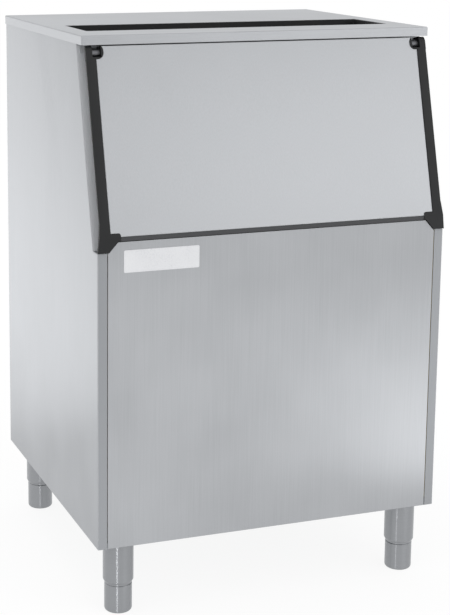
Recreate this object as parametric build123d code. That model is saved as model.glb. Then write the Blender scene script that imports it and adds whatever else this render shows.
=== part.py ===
from build123d import *
import math
import os

# An ice storage bin: an insulated stainless cabinet on four levelling legs, with a lift-up door
# in its sloping front and a lid that an ice maker stands on and drops its ice through.
# Millimetres. X runs to the right, Y to the back and Z up. The origin is on the floor, under the
# middle of the whole bin.

# Cabinet
body_width = 760.0
body_depth = 680.0
bin_height = 1172.0
leg_height = 150.0
sheet = 1.0
side_flange = 20.0
panel_gap = 1.5
slope_rise = 394.0
ledge_drop = 21.0
corner_cut_x = 20.5
corner_cut_z = 23.0
base_sheet = 1.2
base_rim = 12.0

# Lid
lid_edge = 19.0
lid_sheet = 1.2
lid_overhang = 2.0
lid_fold = 2.6
lid_seat = 0.2
drop_side = 40.0
drop_depth = 152.0
drop_front = 100.4
drop_corner = 6.0
collar_wall = 3.0
collar_recess = 0.4

# Insulated walls
wall = 40.0
liner_wall = 3.0
liner_corner = 22.0
foam_lift = 15.0
liner_lift = 40.0

# Door
door_lean = 15.0
door_gap = 10.0
door_inset = 26.0
door_thickness = 32.0
door_proud = 2.0
flange_setback = 38.5
skin_sheet = 1.0
skin_depth = 20.0
skin_fold = 1.6
pan_wall = 2.0
pivot_drop = 17.5
door_over_pivot = 12.0

# Door trims
trim_proud = 1.5
trim_reach = 20.5
trim_lip = 6.0
trim_web = 4.0
corner_top_v = 28.0
tip_reach = 21.0
arm_height = 8.0
arm_round = 5.0
strip_gap = 1.5
gasket_inset = 14.0
gasket_width = 14.0
gasket_gap = 0.3
gasket_round = 2.0
gasket_bottom_v = 6.0

# Frame around the ice opening
frame_thickness = 4.0
frame_side = 48.0
frame_bottom_v = 28.0
frame_below_pivot = 36.0
frame_over_pivot = 2.0
frame_corner = 20.0
rail_sheet = 2.0
rail_return = 30.0
rail_gap = 0.5

# Hinges
cap_inset = 16.0
cap_length = 14.0
cap_crown = 2.2
cap_round = 12.0
cap_slot = 18.0
cap_cheek = 5.0
slot_below = 10.4
lug_width = 17.4
lug_radius = 9.6
bracket_foot = 2.0
bracket_below = 4.0
bracket_above = 40.0
pin_radius = 4.0
pin_fit = 0.05
bush_radius = 6.0
bush_recess = 1.0
seat_fit = 0.02
pin_recess = 0.5

# Legs and levelling feet
leg_side_inset = 57.0
leg_front_inset = 40.0
leg_back_inset = 58.0
leg_radius = 31.5
leg_wall = 1.5
leg_top = 3.0
taper_drop = 81.0
taper_length = 7.5
leg_end_length = 1.2
foot_radius = 28.5
foot_gap = 0.6
foot_wall = 3.0
foot_floor = 8.0
foot_boss_z = 24.0
foot_round = 6.0
stud_radius = 8.0
stud_spare = 25.0
insert_lift = 2.0
insert_height = 18.0
insert_seat = 0.05
leg_plate_size = 70.0
leg_plate_thickness = 4.0
leg_bolt_radius = 6.0
leg_bolt_head = 10.0
leg_bolt_head_height = 7.0
leg_bolt_spare = 5.0
leg_nut_height = 8.0
bolt_clearance = 0.2

# Drain
drain_from_back = 150.0
drain_radius = 13.0
drain_bore = 10.5
drain_tail_radius = 12.5
drain_neck_radius = 11.8
drain_neck = 4.0
drain_flange_radius = 30.0
drain_flange_thickness = 3.0
drain_tail = 45.0
drain_nut_radius = 24.0
drain_nut_height = 12.0
washer_thickness = 2.0
washer_radius = 27.5
strainer_radius = 26.0
strainer_thickness = 1.5
strainer_hole = 2.2
strainer_rings = (0.36, 0.72)
strainer_holes_per_ring = (6, 12)
drain_clearance = 0.4

# Screws
screw_radius = 2.0
screw_head_radius = 4.0
screw_head_height = 1.8
screw_clearance = 0.05
back_screw_rows = 5
lid_screw_count = 4
hinge_screw_radius = 2.5
hinge_screw_head = 4.5
hinge_screw_head_height = 2.5
hinge_screw_above = 31.0
hinge_screw_inset = 6.5

# Blank plate on the front panel
plate_width = 158.0
plate_height = 45.0
plate_thickness = 0.8
plate_left = 54.0
plate_below = 17.0
plate_corner = 3.0

# Shared clearances
touch = 0.3
slip = 0.5
overrun = 5.0

# Places that follow from the sizes above
half_width = body_width / 2
panel_top_z = bin_height - slope_rise
ledge_z = panel_top_z - ledge_drop
door_bottom_z = panel_top_z + door_gap
foam_base_z = leg_height + foam_lift
liner_base_z = leg_height + liner_lift
drain_end_z = leg_height - drain_tail
taper_top_z = leg_height - taper_drop
taper_bottom_z = taper_top_z - taper_length
leg_end_z = taper_bottom_z - leg_end_length
foot_top_z = leg_end_z - foot_gap
insert_bottom_z = taper_top_z + insert_lift
insert_top_z = insert_bottom_z + insert_height
stud_top_z = insert_top_z + stud_spare
leg_bolt_end_z = leg_height - leg_top - leg_nut_height - leg_bolt_spare
front_reach = door_proud + trim_proud
y_front = front_reach - (front_reach + body_depth + lid_overhang) / 2
y_back = y_front + body_depth
y_shell = y_back - sheet
lid_bottom_z = bin_height - lid_edge
cabinet_top = bin_height - lid_sheet - lid_seat
ceiling_z = bin_height - wall
lean_sin = math.sin(math.radians(door_lean))
lean_cos = math.cos(math.radians(door_lean))
knee_y = y_front - door_proud
door_half = half_width - door_inset
trim_half = door_half + trim_reach
tip_half = door_half - tip_reach
panel_half = half_width - side_flange - panel_gap
frame_half = half_width - side_flange - slip
leg_x = half_width - leg_side_inset
leg_front_y = y_front + leg_front_inset
leg_back_y = y_back - leg_back_inset
drain_y = y_back - drain_from_back
liner_half = half_width - wall + liner_wall
cavity_half = half_width - wall
drop_width = body_width - 2 * drop_side


def on_slope(v, w):
    """The Y and Z of a point v up the door's face from its bottom edge and w out from it."""
    return (knee_y + v * lean_sin - w * lean_cos, door_bottom_z + v * lean_cos + w * lean_sin)


def slope_v(z, w):
    """How far up the door a plane w out from its face reaches the height z."""
    return (z - door_bottom_z - w * lean_sin) / lean_cos


def slope_y(z, w):
    """The Y of a plane w out from the door's face, at the height z."""
    return on_slope(slope_v(z, w), w)[0]


def slope_z(y, w):
    """The height at which a plane w out from the door's face has the given Y."""
    return on_slope((y - knee_y + w * lean_cos) / lean_sin, w)[1]


pivot_w = -door_thickness / 2
pivot_v = slope_v(lid_bottom_z - pivot_drop, pivot_w)
pivot_y, pivot_z = on_slope(pivot_v, pivot_w)
door_top_v = pivot_v + door_over_pivot
cap_bottom_v = pivot_v - cap_length
cap_inner = door_half - cap_inset
cap_outer = cap_inner + 2 * cap_cheek + cap_slot
ledge_v = slope_v(ledge_z, -flange_setback)
frame_top_v = pivot_v - frame_below_pivot
frame_end_v = pivot_v + frame_over_pivot
frame_back_w = -flange_setback - frame_thickness
lid_front_y = slope_y(lid_bottom_z, 0) - lid_sheet
drop_y0 = lid_front_y + drop_front
drop_y1 = drop_y0 + drop_depth
slope_frame = Plane(
    origin=(0, knee_y, door_bottom_z), x_dir=(1, 0, 0), z_dir=(0, -lean_cos, lean_sin)
)


def block(x0, x1, y0, y1, z0, z1):
    """A box between two corners."""
    box = Box(x1 - x0, y1 - y0, z1 - z0)
    return Pos((x0 + x1) / 2, (y0 + y1) / 2, (z0 + z1) / 2) * box


def slope_block(x0, x1, v0, v1, w0, w1):
    """A box in the door's own frame: across, up the door and out from its face."""
    return slope_frame.location * block(x0, x1, v0, v1, w0, w1)


def along_x(points, x0, x1):
    """A prism along X whose outline is a list of Y and Z."""
    outline = Polygon(*points, align=None)
    return extrude(Plane.YZ.offset(x0) * outline, amount=x1 - x0, dir=(1, 0, 0))


def along_y(outline, y0, y1):
    """A prism along Y of an outline drawn in X and Z."""
    plane = Plane(origin=(0, y1, 0), x_dir=(1, 0, 0), z_dir=(0, -1, 0))
    return extrude(plane * outline, amount=y1 - y0, dir=(0, -1, 0))


def along_door(points, v0, v1):
    """A prism up the door whose outline is a list of places across it and out from it."""
    return slope_frame.location * along_y(Polygon(*points, align=None), v0, v1)


def rod_z(x, y, z0, z1, radius):
    """An upright round bar."""
    return Pos(x, y, (z0 + z1) / 2) * Cylinder(radius, z1 - z0)


def rod_x(y, z, x0, x1, radius):
    """A round bar along X."""
    return Pos((x0 + x1) / 2, y, z) * Rot(0, 90, 0) * Cylinder(radius, x1 - x0)


def rod_y(x, z, y0, y1, radius):
    """A round bar along Y."""
    return Pos(x, (y0 + y1) / 2, z) * Rot(90, 0, 0) * Cylinder(radius, y1 - y0)


def rod_out(x, v, w0, w1, radius):
    """A round bar square to the door's slope."""
    return slope_frame.location * rod_z(x, v, w0, w1, radius)


def hexagon_z(x, y, z0, z1, radius):
    """An upright hexagonal bar, its radius measured to the corners."""
    return Pos(x, y, z0) * extrude(RegularPolygon(radius, 6), amount=z1 - z0)


def left_of(shape):
    """The left-hand twin of a right-hand piece."""
    return mirror(shape, about=Plane.YZ)


def cabinet_profile(front, back, bottom, top, ledge, w):
    """The cabinet seen from the side: upright lower front, a ledge, then the slope."""
    return [
        (front, bottom),
        (back, bottom),
        (back, top),
        (slope_y(top, w), top),
        (slope_y(ledge, w), ledge),
        (front, ledge),
    ]


def back_screw_places():
    """The X and Z of the screws that hold the back panel."""
    pitch = (cabinet_top - leg_height) / back_screw_rows
    x = half_width - side_flange / 2
    rows = [leg_height + pitch * (row + 0.5) for row in range(back_screw_rows)]
    return [(side * x, z) for side in (-1, 1) for z in rows]


def lid_screw_places():
    """The X and Z of the screws through the lid's back edge."""
    pitch = body_width / lid_screw_count
    z = lid_bottom_z + lid_edge / 2
    return [(pitch * (index + 0.5) - half_width, z) for index in range(lid_screw_count)]


def hinge_screw_places():
    """How far across and up the door's slope the right bracket's screws lie."""
    v = pivot_v + hinge_screw_above
    inner = cap_inner + hinge_screw_inset
    outer = trim_half - hinge_screw_inset
    return [(inner, v), (outer, v)]


def hinge_screw_holes():
    """The holes that the right bracket's screws pass through."""
    w0 = frame_back_w - overrun
    radius = hinge_screw_radius + screw_clearance
    return [rod_out(x, v, w0, 0, radius) for x, v in hinge_screw_places()]


def side_panel():
    """The right side: a sheet with an inward flange all round."""
    w = -flange_setback
    outer = cabinet_profile(y_front, y_shell, leg_height, cabinet_top, ledge_z, w)
    inner = cabinet_profile(
        y_front + sheet, y_shell - sheet, leg_height + sheet, cabinet_top - sheet,
        ledge_z - sheet, w - sheet,
    )
    panel = along_x(outer, half_width - side_flange, half_width)
    panel -= along_x(inner, half_width - side_flange - overrun, half_width - sheet)
    for hole in hinge_screw_holes():
        panel -= hole
    for x, z in back_screw_places():
        panel -= rod_y(x, z, y_shell - overrun, y_shell + overrun, screw_radius + screw_clearance)
    return panel


def front_outline(bottom):
    """The front panel's outline, its top corners cut off for the door's corner pieces."""
    cut_z = panel_top_z - corner_cut_z
    cut_x = panel_half - corner_cut_x
    return Polygon(
        (-panel_half, bottom),
        (panel_half, bottom),
        (panel_half, cut_z),
        (cut_x, panel_top_z),
        (-cut_x, panel_top_z),
        (-panel_half, cut_z),
        align=None,
    )


def front_panel():
    """The lower front: a sheet folded back at its sides, its cut corners and its top."""
    reach = y_front + wall
    inner = offset(front_outline(leg_height - wall), -sheet, kind=Kind.INTERSECTION)
    panel = along_y(front_outline(leg_height), y_front, reach)
    panel -= along_y(inner, y_front + sheet, reach + overrun)
    low = panel_top_z - corner_cut_z - overrun
    panel -= block(-half_width, half_width, y_front + side_flange, reach + overrun, 0, low)
    base_top = leg_height + base_rim + touch
    panel -= block(-half_width, half_width, y_front + sheet, reach + overrun, 0, base_top)
    cut_v = slope_v(low, -flange_setback)
    return panel - slope_block(
        -half_width, half_width, cut_v, wall, -flange_setback - wall, -flange_setback
    )


def back_panel():
    """The flat sheet that closes the back."""
    half = half_width - slip
    panel = block(-half, half, y_shell, y_back, leg_height + slip, cabinet_top - slip)
    for x, z in back_screw_places():
        panel -= rod_y(x, z, y_shell - overrun, y_back + overrun, screw_radius + screw_clearance)
    for x, z in lid_screw_places():
        panel -= rod_y(x, z, y_shell - overrun, y_back + overrun, screw_radius + screw_clearance)
    return panel


def leg_places():
    """The name and centre of each leg."""
    return [
        ("front_left", -leg_x, leg_front_y),
        ("front_right", leg_x, leg_front_y),
        ("back_left", -leg_x, leg_back_y),
        ("back_right", leg_x, leg_back_y),
    ]


def base_panel():
    """The floor sheet, with a rim turned up all round."""
    half = half_width - side_flange - touch
    front = y_front + sheet + touch
    back = y_shell - touch
    top = leg_height + base_rim
    panel = block(-half, half, front, back, leg_height, top)
    panel -= block(
        base_sheet - half, half - base_sheet, front + base_sheet, back - base_sheet,
        leg_height + base_sheet, top + overrun,
    )
    for _, x, y in leg_places():
        panel -= rod_z(x, y, 0, top, leg_bolt_radius + bolt_clearance)
    panel -= rod_z(0, drain_y, 0, top, drain_radius + drain_clearance)
    return panel


def leg_plates():
    """A stiffening plate inside the floor sheet over each leg."""
    half = leg_plate_size / 2
    z0 = leg_height + base_sheet
    z1 = z0 + leg_plate_thickness
    plates = []
    for _, x, y in leg_places():
        plate = block(x - half, x + half, y - half, y + half, z0, z1)
        plates.append(plate - rod_z(x, y, 0, z1 + overrun, leg_bolt_radius + bolt_clearance))
    return plates


def leg_bolts():
    """The bolt and nut that hold each leg to the floor sheet."""
    seat = leg_height + base_sheet + leg_plate_thickness
    nut_top = leg_height - leg_top
    solids = []
    for _, x, y in leg_places():
        bolt = rod_z(x, y, leg_bolt_end_z, seat + leg_bolt_head_height / 2, leg_bolt_radius)
        bolt += hexagon_z(x, y, seat, seat + leg_bolt_head_height, leg_bolt_head)
        nut = hexagon_z(x, y, nut_top - leg_nut_height, nut_top, leg_bolt_head)
        nut -= rod_z(x, y, 0, leg_height, leg_bolt_radius + screw_clearance)
        solids += [bolt, nut]
    return solids


def turned(points, x, y):
    """A solid of revolution about an upright axis, from a list of radii and heights."""
    outline = Plane.XZ * Polygon(*points, align=None)
    return Pos(x, y, 0) * revolve(outline, axis=Axis.Z)


def leg_tube(x, y):
    """A leg: a tube with a closed top, drawn in just above its open end."""
    inner = leg_radius - leg_wall
    points = [
        (leg_bolt_radius + bolt_clearance, leg_height),
        (leg_radius, leg_height),
        (leg_radius, taper_top_z),
        (foot_radius, taper_bottom_z),
        (foot_radius, leg_end_z),
        (foot_radius - leg_wall, leg_end_z),
        (foot_radius - leg_wall, taper_bottom_z),
        (inner, taper_top_z),
        (inner, leg_height - leg_top),
        (leg_bolt_radius + bolt_clearance, leg_height - leg_top),
    ]
    return turned(points, x, y)


def leg_inserts():
    """The threaded insert in each leg that the foot's stud turns in."""
    outer = leg_radius - leg_wall - insert_seat
    inserts = []
    for _, x, y in leg_places():
        insert = rod_z(x, y, insert_bottom_z, insert_top_z, outer)
        inserts.append(insert - rod_z(x, y, 0, leg_height, stud_radius + pin_fit))
    return inserts


def levelling_foot(x, y):
    """A foot: a cup with a rounded sole and a boss for its stud."""
    foot = fillet(
        rod_z(x, y, 0, foot_top_z, foot_radius).edges().sort_by(Axis.Z)[:1], foot_round
    )
    foot -= rod_z(x, y, foot_floor, foot_top_z + overrun, foot_radius - foot_wall)
    foot += rod_z(x, y, 0, foot_boss_z, stud_radius + foot_wall)
    return foot - rod_z(x, y, foot_floor, foot_top_z + overrun, stud_radius)


def foot_stud(x, y):
    """The screw that stands in a foot and turns in the leg's insert."""
    return rod_z(x, y, foot_floor, stud_top_z, stud_radius)


def drop_hole(shrink, z0, z1):
    """The space of the lid's drop opening, made smaller all round by a named amount."""
    hole = Pos(0, (drop_y0 + drop_y1) / 2, z0) * extrude(
        RectangleRounded(drop_width - 2 * shrink, drop_depth - 2 * shrink, drop_corner),
        amount=z1 - z0,
    )
    return hole


def top_cover():
    """The lid: a pan of sheet with rounded folds and the opening that ice drops through."""
    half = half_width + lid_overhang
    back = y_back + lid_overhang
    outer = block(-half, half, lid_front_y, back, lid_bottom_z, bin_height)
    outer = fillet(outer.edges().filter_by(Axis.Z) + outer.faces().sort_by(Axis.Z)[-1].edges(),
                   lid_fold)
    inner = block(
        lid_sheet - half, half - lid_sheet, lid_front_y + lid_sheet, back - lid_sheet,
        lid_bottom_z - overrun, bin_height - lid_sheet,
    )
    inner = fillet(inner.edges().filter_by(Axis.Z) + inner.faces().sort_by(Axis.Z)[-1].edges(),
                   lid_fold - lid_sheet)
    cover = outer - inner - drop_hole(0, lid_bottom_z, bin_height + overrun)
    for x, z in lid_screw_places():
        cover -= rod_y(x, z, y_back, back + overrun, screw_head_radius + screw_clearance)
    return cover


def opening_collar():
    """The plastic collar that lines the drop opening from the lid down to the ceiling."""
    top = bin_height - collar_recess
    bottom = ceiling_z - collar_wall
    collar = drop_hole(touch, bottom, top)
    return collar - drop_hole(touch + collar_wall, bottom - overrun, top + overrun)


def ceiling_panel():
    """The plastic sheet over the ice well, with the drop opening in it."""
    top = ceiling_z + liner_wall
    front = slope_y(top, frame_back_w) + touch
    panel = block(-liner_half, liner_half, front, y_back - wall + liner_wall, ceiling_z, top)
    return panel - drop_hole(0, ceiling_z - overrun, top + overrun)


def top_cover_insulation():
    """The foam between the lid and the ceiling."""
    bottom = ceiling_z + liner_wall
    top = cabinet_top - sheet - touch
    w = -flange_setback - rail_return - rail_gap
    points = [
        (slope_y(bottom, w), bottom),
        (y_back - wall + liner_wall, bottom),
        (y_back - wall + liner_wall, top),
        (slope_y(top, w), top),
    ]
    slab = along_x(points, -liner_half, liner_half)
    return slab - drop_hole(0, bottom - overrun, top + overrun)


def header_rail():
    """The steel angle above the ice opening that carries the hinges and the lid's front."""
    top_v = slope_v(cabinet_top - touch, -flange_setback)
    w = -flange_setback
    rail = slope_block(-frame_half, frame_half, frame_end_v + rail_gap, top_v, w - rail_sheet, w)
    inner = liner_half - slip
    rail += slope_block(-inner, inner, top_v - rail_sheet, top_v, w - rail_return, w)
    for hole in hinge_screw_holes():
        rail -= hole
        rail -= left_of(hole)
    return rail


def breaker_frame():
    """The plastic frame round the ice opening that the door's gasket shuts against."""
    w = -flange_setback
    half = frame_half - frame_side
    frame = slope_block(-frame_half, frame_half, ledge_v, frame_end_v, frame_back_w, w)
    hole = RectangleRounded(2 * half, frame_top_v - frame_bottom_v, frame_corner)
    middle = (frame_top_v + frame_bottom_v) / 2
    cut = Pos(0, middle, frame_back_w - overrun) * extrude(
        hole, amount=frame_thickness + 2 * overrun
    )
    return frame - slope_frame.location * cut


def liner():
    """The one-piece tub that holds the ice, open at the top and at the slope."""
    front = y_front + wall - liner_wall
    back = y_back - wall + liner_wall
    outline = [
        (front, liner_base_z),
        (back, liner_base_z),
        (back, ceiling_z),
        (slope_y(ceiling_z, frame_back_w), ceiling_z),
        (front, slope_z(front, frame_back_w)),
    ]
    tub = along_x(outline, -liner_half, liner_half)
    well = block(
        -cavity_half, cavity_half, y_front + wall, y_back - wall,
        liner_base_z + liner_wall, ceiling_z + wall,
    )
    rounded = well.edges().filter_by(Axis.Z) + well.faces().sort_by(Axis.Z)[0].edges()
    tub -= fillet(rounded, liner_corner)
    return tub - rod_z(0, drain_y, 0, ceiling_z, drain_radius + drain_clearance)


def insulation_side():
    """The foam inside the right wall."""
    points = cabinet_profile(
        y_front + sheet, y_shell - sheet, foam_base_z, cabinet_top - sheet - touch,
        ledge_z - sheet - touch, frame_back_w,
    )
    slab = along_x(points, liner_half, half_width - sheet)
    back = y_front + wall - liner_wall
    return slab - block(0, half_width - side_flange + touch, y_front, back, 0, ledge_z)


def insulation_back():
    """The foam inside the back wall."""
    return block(
        -liner_half, liner_half, y_back - wall + liner_wall, y_shell,
        foam_base_z, cabinet_top - sheet - touch,
    )


def insulation_front():
    """The foam inside the lower front wall."""
    top = panel_top_z - sheet
    back = y_front + wall - liner_wall
    half = panel_half - sheet
    slab = block(-half, half, y_front + sheet, back, foam_base_z, top)
    outline = offset(front_outline(leg_height), -sheet, kind=Kind.INTERSECTION)
    slab &= along_y(outline, y_front, back)
    slab -= slope_block(
        -half_width, half_width, ledge_v - touch, frame_end_v, -flange_setback - wall,
        -flange_setback,
    )
    return slab


def insulation_floor():
    """The foam under the ice well."""
    slab = block(
        -liner_half, liner_half, y_front + wall - liner_wall, y_back - wall + liner_wall,
        foam_base_z, liner_base_z,
    )
    return slab - rod_z(0, drain_y, 0, liner_base_z + overrun, drain_radius + drain_clearance)


def drain_body():
    """The drain: a flanged thread through the floor, and a tail below it for a hose."""
    z0 = liner_base_z + liner_wall + washer_thickness
    z1 = z0 + drain_flange_thickness
    nut_bottom = leg_height - drain_nut_height
    tail_top = nut_bottom - drain_neck
    body = rod_z(0, drain_y, z0, z1, drain_flange_radius)
    body += rod_z(0, drain_y, nut_bottom - slip, z1, drain_radius)
    body += rod_z(0, drain_y, drain_end_z, z1, drain_neck_radius)
    body += rod_z(0, drain_y, drain_end_z, tail_top, drain_tail_radius)
    return body - rod_z(0, drain_y, 0, z1 + overrun, drain_bore)


def drain_washer():
    """The rubber washer under the drain's flange."""
    z0 = liner_base_z + liner_wall
    washer = rod_z(0, drain_y, z0, z0 + washer_thickness, washer_radius)
    return washer - rod_z(0, drain_y, 0, z0 + overrun, drain_radius + screw_clearance)


def drain_nut():
    """The nut that pulls the drain tight from below."""
    nut = hexagon_z(0, drain_y, leg_height - drain_nut_height, leg_height, drain_nut_radius)
    return nut - rod_z(0, drain_y, 0, leg_height + overrun, drain_radius + screw_clearance)


def drain_strainer():
    """The perforated disc that keeps ice out of the drain."""
    z0 = liner_base_z + liner_wall + washer_thickness + drain_flange_thickness
    z1 = z0 + strainer_thickness
    disc = rod_z(0, drain_y, z0, z1, strainer_radius)
    for ring, count in zip(strainer_rings, strainer_holes_per_ring):
        for index in range(count):
            angle = math.tau * index / count
            x = ring * strainer_radius * math.cos(angle)
            y = drain_y + ring * strainer_radius * math.sin(angle)
            disc -= rod_z(x, y, z0 - overrun, z1 + overrun, strainer_hole)
    return disc


def lug_middle():
    """The X of the middle of the right hinge's lug."""
    return cap_inner + cap_cheek + cap_slot / 2


def hinge_bracket():
    """The right hinge bracket: a foot screwed to the cabinet and a lug round the pin."""
    w0 = -flange_setback
    w1 = w0 + bracket_foot
    x = lug_middle()
    x0 = x - lug_width / 2
    x1 = x + lug_width / 2
    bracket = slope_block(
        cap_inner + slip, trim_half, pivot_v + bracket_below, pivot_v + bracket_above, w0, w1
    )
    bracket += slope_block(x0, x1, pivot_v - lug_radius, pivot_v + lug_radius, w0, pivot_w)
    bracket += rod_x(pivot_y, pivot_z, x0, x1, lug_radius)
    bracket -= rod_x(pivot_y, pivot_z, x0 - overrun, x1 + overrun, pin_radius + seat_fit)
    for hole in hinge_screw_holes():
        bracket -= hole
    return bracket


def hinge_screws():
    """The screws of both hinge brackets."""
    w0 = -flange_setback + bracket_foot
    end = frame_back_w + touch
    screws = []
    for x, v in hinge_screw_places():
        screw = rod_out(x, v, w0, w0 + hinge_screw_head_height, hinge_screw_head)
        screw += rod_out(x, v, end, w0 + hinge_screw_head_height / 2, hinge_screw_radius)
        screws += [screw, left_of(screw)]
    return screws


def hinge_pin():
    """The right hinge's pin, fixed in the lug."""
    return rod_x(pivot_y, pivot_z, cap_inner + pin_recess, cap_outer - pin_recess, pin_radius)


def hinge_bush():
    """The two bushes in the right cap's cheeks that turn on the pin."""
    inner_end = cap_inner + cap_cheek
    spans = [(cap_inner + bush_recess, inner_end), (inner_end + cap_slot, cap_outer)]
    bore = rod_x(pivot_y, pivot_z, 0, half_width, pin_radius + pin_fit)
    return [rod_x(pivot_y, pivot_z, x0, x1, bush_radius) - bore for x0, x1 in spans]


def cap_outline(gap, outer):
    """The right cap's shape seen from the front, grown by a gap, right through the door."""
    inner = cap_inner - gap
    bottom = cap_bottom_v - gap
    top = door_top_v + cap_crown + gap
    face = Polygon((inner, bottom), (outer, bottom), (outer, top), (inner, top), align=None)
    corner_round = min(cap_round, (top - bottom) / 2 - touch)
    face = fillet(face.vertices().sort_by(Axis.X)[:2], corner_round)
    depth = door_thickness + 2 * overrun
    return slope_frame.location * Pos(0, 0, -door_thickness - overrun) * extrude(
        face, amount=depth, dir=(0, 0, 1)
    )


def hinge_cap():
    """The right hinge cap: a slot for the lug between two cheeks, and a lip like the trim's."""
    round_radius = (door_thickness + trim_proud) / 2
    middle_w = trim_proud - round_radius
    cap = slope_block(cap_inner, trim_half, cap_bottom_v, pivot_v, -door_thickness, trim_proud)
    cap += rod_x(*on_slope(pivot_v, middle_w), cap_inner, trim_half, round_radius)
    cap &= cap_outline(0, trim_half)
    cap -= slope_block(
        cap_outer, half_width, cap_bottom_v - overrun, pivot_v + wall,
        -door_thickness - overrun, trim_proud - trim_lip,
    )
    slot_start = cap_inner + cap_cheek
    cap -= slope_block(
        slot_start, slot_start + cap_slot, pivot_v - slot_below, pivot_v + wall,
        -door_thickness - overrun, trim_proud + overrun,
    )
    bore = rod_x(pivot_y, pivot_z, 0, half_width, bush_radius + seat_fit)
    return cap - bore


def cap_room():
    """The room that both hinge caps need in the door's top corners."""
    room = cap_outline(touch, half_width)
    return room + left_of(room)


def door_skin():
    """The door's outer sheet, folded back all round."""
    skin = block(-door_half, door_half, 0, door_top_v, -skin_depth, 0)
    skin = fillet(skin.faces().sort_by(Axis.Z)[-1].edges(), skin_fold)
    skin -= block(
        skin_sheet - door_half, door_half - skin_sheet, skin_sheet, door_top_v - skin_sheet,
        -skin_depth - overrun, -skin_sheet,
    )
    return slope_frame.location * skin - cap_room()


def door_liner():
    """The door's plastic back, a shallow pan whose rim meets the skin's."""
    w0 = -door_thickness
    w1 = -skin_depth
    pan = slope_block(-door_half, door_half, 0, door_top_v, w0, w1)
    pan -= slope_block(
        pan_wall - door_half, door_half - pan_wall, pan_wall, door_top_v - pan_wall,
        w0 + pan_wall, w1 + overrun,
    )
    return pan - cap_room()


def door_insulation():
    """The foam inside the door."""
    slab = slope_block(
        pan_wall - door_half, door_half - pan_wall, pan_wall, door_top_v - pan_wall,
        pan_wall - door_thickness, -skin_sheet,
    )
    return slab - cap_room()


def door_trim():
    """The right door trim: a web beside the door and a lip that is the finger grip."""
    x0 = door_half
    x1 = trim_half
    web = door_half + trim_web
    front = trim_proud
    back = -door_thickness
    points = [
        (x0, front),
        (x1, front),
        (x1, front - trim_lip),
        (web, front - trim_lip),
        (web, back),
        (x0, back),
    ]
    return along_door(points, corner_top_v, cap_bottom_v)


def door_corner():
    """The right bottom corner of the door: it wraps below the knee and ends in the trim's lip."""
    low = ledge_z + strip_gap
    front = knee_y - trim_proud
    lip_back = front + trim_lip
    web = door_half + trim_web
    profile = [
        (front, low),
        (slope_y(low, -door_thickness), low),
        on_slope(corner_top_v, -door_thickness),
        on_slope(corner_top_v, trim_proud),
        (front, slope_z(front, trim_proud)),
    ]
    lip = [
        (front, low),
        (lip_back, low),
        (lip_back, slope_z(lip_back, trim_proud - trim_lip)),
        on_slope(corner_top_v, trim_proud - trim_lip),
        on_slope(corner_top_v, trim_proud),
        (front, slope_z(front, trim_proud)),
    ]
    corner = along_x(profile, tip_half, web) + along_x(lip, web, half_width)
    corner -= slope_block(
        0, door_half, 0, corner_top_v + overrun, -door_thickness - overrun, trim_proud + overrun
    )
    cut_x = panel_half - corner_cut_x
    cut_z = panel_top_z - corner_cut_z
    under = Polygon(
        (0, cut_z - wall),
        (panel_half, cut_z - wall),
        (panel_half, cut_z + strip_gap),
        (cut_x, panel_top_z + strip_gap),
        (0, panel_top_z + strip_gap),
        align=None,
    )
    corner -= along_y(under, y_front - wall, y_front + wall)
    top_z = on_slope(corner_top_v, 0)[1]
    beside = Polygon(
        (half_width, low),
        (half_width + wall, low),
        (half_width + wall, top_z + wall),
        (trim_half, top_z + wall),
        (trim_half, top_z),
        align=None,
    )
    corner -= along_y(beside, y_front - wall, y_front + wall)
    return corner + corner_arm(web)


def corner_arm(web):
    """The raised end of the right corner that lies on the door's face."""
    face = Polygon((tip_half, 0), (web, 0), (web, arm_height), (tip_half, arm_height), align=None)
    inner_top = face.vertices().sort_by(Axis.Y)[-2:].sort_by(Axis.X)[0]
    face = fillet(inner_top, min(arm_round, arm_height - touch))
    return slope_frame.location * extrude(face, amount=trim_proud, dir=(0, 0, 1))


def door_bottom_trim():
    """The dark strip along the door's bottom edge, between its corners."""
    low = panel_top_z + strip_gap
    profile = [
        (knee_y, low),
        (slope_y(low, -door_thickness), low),
        on_slope(0, -door_thickness),
        on_slope(0, 0),
    ]
    return along_x(profile, -tip_half, tip_half)


def door_gasket():
    """The rubber gasket on the door's back."""
    outer = door_half - gasket_inset
    v0 = gasket_bottom_v
    v1 = pivot_v - gasket_inset
    w0 = -flange_setback + gasket_gap
    w1 = -door_thickness
    ring = block(-outer, outer, v0, v1, w0, w1)
    ring = fillet(ring.faces().sort_by(Axis.Z)[0].edges(), gasket_round)
    ring -= block(
        gasket_width - outer, outer - gasket_width, v0 + gasket_width, v1 - gasket_width,
        w0 - overrun, w1 + overrun,
    )
    return slope_frame.location * ring


def back_panel_screws():
    """The screws that hold the back panel to the side panels' flanges."""
    screws = []
    for x, z in back_screw_places():
        screw = rod_y(x, z, y_shell - sheet, y_back + screw_head_height / 2, screw_radius)
        head = rod_y(x, z, y_back, y_back + screw_head_height, screw_head_radius)
        screws.append(screw + head)
    return screws


def lid_screws():
    """The flush screws through the lid's back edge."""
    out = y_back + lid_overhang
    screws = []
    for x, z in lid_screw_places():
        screw = rod_y(x, z, y_shell, out - lid_sheet / 2, screw_radius)
        screws.append(screw + rod_y(x, z, y_back, out, screw_head_radius))
    return screws


def label_plate():
    """A blank white plate on the front panel, under the door's left corner."""
    x = plate_left + plate_width / 2 - half_width
    z = panel_top_z - plate_below - plate_height / 2
    outline = Pos(x, z) * RectangleRounded(plate_width, plate_height, plate_corner)
    return along_y(outline, y_front - plate_thickness, y_front)


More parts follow.
